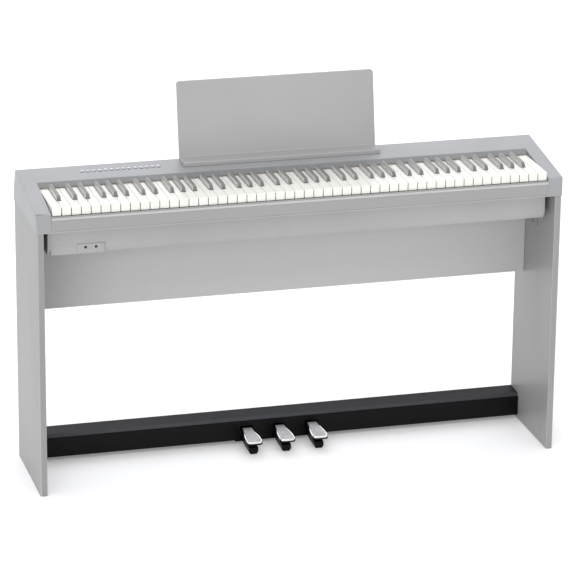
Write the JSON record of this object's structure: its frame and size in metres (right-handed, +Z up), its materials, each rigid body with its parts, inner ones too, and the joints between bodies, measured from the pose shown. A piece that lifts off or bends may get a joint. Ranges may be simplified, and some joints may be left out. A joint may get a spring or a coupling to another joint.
{
  "type": "digital piano on stand",
  "caption": "Slab digital piano on a fixed panel stand, with a music rest, sprung keys, panel buttons and a black bar of sprung pedals.",
  "frame": {"origin": "on the floor, under the middle of the object's box", "axes": "+X to the treble end, +Y to the back, +Z up"},
  "size_m": [1.3, 0.288, 0.9303],
  "materials": {
    "case_plastic": "fine-textured moulded shell, pale grey",
    "lower_plastic": "fine-textured moulded tray, mid grey",
    "board_laminate": "particle board with a satin grey foil",
    "rest_plastic": "satin moulded plate",
    "key_white": "satin-gloss white key top",
    "key_grey": "matt grey key",
    "trim_plastic": "matt darker grey trim",
    "button_plastic": "satin light button",
    "frame_steel": "zinc plated sheet",
    "circuit_board": "solder mask",
    "speaker_black": "black basket and paper cone",
    "bar_black": "board with a satin near-black foil",
    "bar_front_black": "board with a satin black foil",
    "pedal_black": "black powder coat",
    "pedal_chrome": "polished rim with a satin top"
  },
  "bodies": {
    "piano_and_stand": {"left_side_panel": "board_laminate", "right_side_panel": "board_laminate", "apron_board": "board_laminate", "left_piano_bracket": "frame_steel", "right_piano_bracket": "frame_steel", "top_case": "case_plastic", "bottom_case": "lower_plastic", "headphone_jack_box": "lower_plastic", "rear_jack_panel": "lower_plastic", "key_slip": "board_laminate", "key_rear_trim": "trim_plastic", "key_chassis": "frame_steel", "white_keys_low": "key_white", "white_keys_high": "key_white", "black_keys_low": "key_grey", "black_keys_high": "key_grey", "panel_board": "circuit_board", "main_board": "circuit_board", "left_speaker": "speaker_black", "right_speaker": "speaker_black", "pedal_bar_front_board": "bar_front_black", "pedal_bar_cover": "bar_black", "pedal_base_plate": "pedal_black", "pedal_pivot_shaft": "frame_steel", "pedal_arm_left": "pedal_black", "pedal_arm_middle": "pedal_black", "pedal_arm_right": "pedal_black"},
    "key_c": {"key_c": "key_white"},
    "key_d": {"key_d": "key_white"},
    "key_e": {"key_e": "key_white"},
    "key_f": {"key_f": "key_white"},
    "key_g": {"key_g": "key_white"},
    "key_a": {"key_a": "key_white"},
    "key_b": {"key_b": "key_white"},
    "key_c_sharp": {"key_c_sharp": "key_grey"},
    "key_d_sharp": {"key_d_sharp": "key_grey"},
    "key_f_sharp": {"key_f_sharp": "key_grey"},
    "key_g_sharp": {"key_g_sharp": "key_grey"},
    "key_a_sharp": {"key_a_sharp": "key_grey"},
    "pedal_left": {"pedal_lever_left": "pedal_black", "pedal_cap_left": "pedal_chrome"},
    "pedal_middle": {"pedal_lever_middle": "pedal_black", "pedal_cap_middle": "pedal_chrome"},
    "pedal_right": {"pedal_lever_right": "pedal_black", "pedal_cap_right": "pedal_chrome"},
    "button_1": {"button_1": "button_plastic"},
    "button_2": {"button_2": "button_plastic"},
    "button_3": {"button_3": "button_plastic"},
    "button_4": {"button_4": "button_plastic"},
    "button_5": {"button_5": "button_plastic"},
    "button_6": {"button_6": "button_plastic"},
    "button_7": {"button_7": "button_plastic"},
    "button_8": {"button_8": "button_plastic"},
    "button_9": {"button_9": "button_plastic"},
    "button_10": {"button_10": "button_plastic"},
    "button_11": {"button_11": "button_plastic"},
    "button_12": {"button_12": "button_plastic"},
    "button_13": {"button_13": "button_plastic"},
    "button_14": {"button_14": "button_plastic"},
    "music_rest": {"music_rest": "rest_plastic"}
  },
  "joints": [
    {"name": "key_c_press", "type": "hinge", "parent": "piano_and_stand", "child": "key_c", "pos_m": [0, 0.09, 0.712], "axis": [1, 0, 0], "range_deg": [0, 2.5], "stiffness_Nm_per_rad": 2, "springref_deg": -11.46},
    {"name": "key_d_press", "type": "hinge", "parent": "piano_and_stand", "child": "key_d", "pos_m": [0, 0.09, 0.712], "axis": [1, 0, 0], "range_deg": [0, 2.5], "stiffness_Nm_per_rad": 2, "springref_deg": -11.46},
    {"name": "key_e_press", "type": "hinge", "parent": "piano_and_stand", "child": "key_e", "pos_m": [0, 0.09, 0.712], "axis": [1, 0, 0], "range_deg": [0, 2.5], "stiffness_Nm_per_rad": 2, "springref_deg": -11.46},
    {"name": "key_f_press", "type": "hinge", "parent": "piano_and_stand", "child": "key_f", "pos_m": [0, 0.09, 0.712], "axis": [1, 0, 0], "range_deg": [0, 2.5], "stiffness_Nm_per_rad": 2, "springref_deg": -11.46},
    {"name": "key_g_press", "type": "hinge", "parent": "piano_and_stand", "child": "key_g", "pos_m": [0, 0.09, 0.712], "axis": [1, 0, 0], "range_deg": [0, 2.5], "stiffness_Nm_per_rad": 2, "springref_deg": -11.46},
    {"name": "key_a_press", "type": "hinge", "parent": "piano_and_stand", "child": "key_a", "pos_m": [0, 0.09, 0.712], "axis": [1, 0, 0], "range_deg": [0, 2.5], "stiffness_Nm_per_rad": 2, "springref_deg": -11.46},
    {"name": "key_b_press", "type": "hinge", "parent": "piano_and_stand", "child": "key_b", "pos_m": [0, 0.09, 0.712], "axis": [1, 0, 0], "range_deg": [0, 2.5], "stiffness_Nm_per_rad": 2, "springref_deg": -11.46},
    {"name": "key_c_sharp_press", "type": "hinge", "parent": "piano_and_stand", "child": "key_c_sharp", "pos_m": [0, 0.09, 0.712], "axis": [1, 0, 0], "range_deg": [0, 2.5], "stiffness_Nm_per_rad": 1, "springref_deg": -11.46},
    {"name": "key_d_sharp_press", "type": "hinge", "parent": "piano_and_stand", "child": "key_d_sharp", "pos_m": [0, 0.09, 0.712], "axis": [1, 0, 0], "range_deg": [0, 2.5], "stiffness_Nm_per_rad": 1, "springref_deg": -11.46},
    {"name": "key_f_sharp_press", "type": "hinge", "parent": "piano_and_stand", "child": "key_f_sharp", "pos_m": [0, 0.09, 0.712], "axis": [1, 0, 0], "range_deg": [0, 2.5], "stiffness_Nm_per_rad": 1, "springref_deg": -11.46},
    {"name": "key_g_sharp_press", "type": "hinge", "parent": "piano_and_stand", "child": "key_g_sharp", "pos_m": [0, 0.09, 0.712], "axis": [1, 0, 0], "range_deg": [0, 2.5], "stiffness_Nm_per_rad": 1, "springref_deg": -11.46},
    {"name": "key_a_sharp_press", "type": "hinge", "parent": "piano_and_stand", "child": "key_a_sharp", "pos_m": [0, 0.09, 0.712], "axis": [1, 0, 0], "range_deg": [0, 2.5], "stiffness_Nm_per_rad": 1, "springref_deg": -11.46},
    {"name": "pedal_left_press", "type": "hinge", "parent": "piano_and_stand", "child": "pedal_left", "pos_m": [0, 0.118, 0.03], "axis": [1, 0, 0], "range_deg": [0, 6], "stiffness_Nm_per_rad": 12, "springref_deg": -6.88},
    {"name": "pedal_middle_press", "type": "hinge", "parent": "piano_and_stand", "child": "pedal_middle", "pos_m": [0, 0.118, 0.03], "axis": [1, 0, 0], "range_deg": [0, 6], "stiffness_Nm_per_rad": 12, "springref_deg": -6.88},
    {"name": "pedal_right_press", "type": "hinge", "parent": "piano_and_stand", "child": "pedal_right", "pos_m": [0, 0.118, 0.03], "axis": [1, 0, 0], "range_deg": [0, 6], "stiffness_Nm_per_rad": 12, "springref_deg": -6.88},
    {"name": "button_1_press", "type": "slide", "parent": "piano_and_stand", "child": "button_1", "axis": [0, 0.1426, -0.9898], "range_m": [0, 0.0009], "stiffness_N_per_m": 300, "springref_m": -0.002},
    {"name": "button_2_press", "type": "slide", "parent": "piano_and_stand", "child": "button_2", "axis": [0, 0.1426, -0.9898], "range_m": [0, 0.0009], "stiffness_N_per_m": 300, "springref_m": -0.002},
    {"name": "button_3_press", "type": "slide", "parent": "piano_and_stand", "child": "button_3", "axis": [0, 0.1426, -0.9898], "range_m": [0, 0.0009], "stiffness_N_per_m": 300, "springref_m": -0.002},
    {"name": "button_4_press", "type": "slide", "parent": "piano_and_stand", "child": "button_4", "axis": [0, 0.1426, -0.9898], "range_m": [0, 0.0009], "stiffness_N_per_m": 300, "springref_m": -0.002},
    {"name": "button_5_press", "type": "slide", "parent": "piano_and_stand", "child": "button_5", "axis": [0, 0.1426, -0.9898], "range_m": [0, 0.0009], "stiffness_N_per_m": 300, "springref_m": -0.002},
    {"name": "button_6_press", "type": "slide", "parent": "piano_and_stand", "child": "button_6", "axis": [0, 0.1426, -0.9898], "range_m": [0, 0.0009], "stiffness_N_per_m": 300, "springref_m": -0.002},
    {"name": "button_7_press", "type": "slide", "parent": "piano_and_stand", "child": "button_7", "axis": [0, 0.1426, -0.9898], "range_m": [0, 0.0009], "stiffness_N_per_m": 300, "springref_m": -0.002},
    {"name": "button_8_press", "type": "slide", "parent": "piano_and_stand", "child": "button_8", "axis": [0, 0.1426, -0.9898], "range_m": [0, 0.0009], "stiffness_N_per_m": 300, "springref_m": -0.002},
    {"name": "button_9_press", "type": "slide", "parent": "piano_and_stand", "child": "button_9", "axis": [0, 0.1426, -0.9898], "range_m": [0, 0.0009], "stiffness_N_per_m": 300, "springref_m": -0.002},
    {"name": "button_10_press", "type": "slide", "parent": "piano_and_stand", "child": "button_10", "axis": [0, 0.1426, -0.9898], "range_m": [0, 0.0009], "stiffness_N_per_m": 300, "springref_m": -0.002},
    {"name": "button_11_press", "type": "slide", "parent": "piano_and_stand", "child": "button_11", "axis": [0, 0.1426, -0.9898], "range_m": [0, 0.0009], "stiffness_N_per_m": 300, "springref_m": -0.002},
    {"name": "button_12_press", "type": "slide", "parent": "piano_and_stand", "child": "button_12", "axis": [0, 0.1426, -0.9898], "range_m": [0, 0.0009], "stiffness_N_per_m": 300, "springref_m": -0.002},
    {"name": "button_13_press", "type": "slide", "parent": "piano_and_stand", "child": "button_13", "axis": [0, 0.1426, -0.9898], "range_m": [0, 0.0009], "stiffness_N_per_m": 300, "springref_m": -0.002},
    {"name": "button_14_press", "type": "slide", "parent": "piano_and_stand", "child": "button_14", "axis": [0, 0.1426, -0.9898], "range_m": [0, 0.0009], "stiffness_N_per_m": 300, "springref_m": -0.002},
    {"name": "music_rest_lift", "type": "slide", "parent": "piano_and_stand", "child": "music_rest", "axis": [0, 0, 1], "range_m": [0, 0.06]}
  ]
}
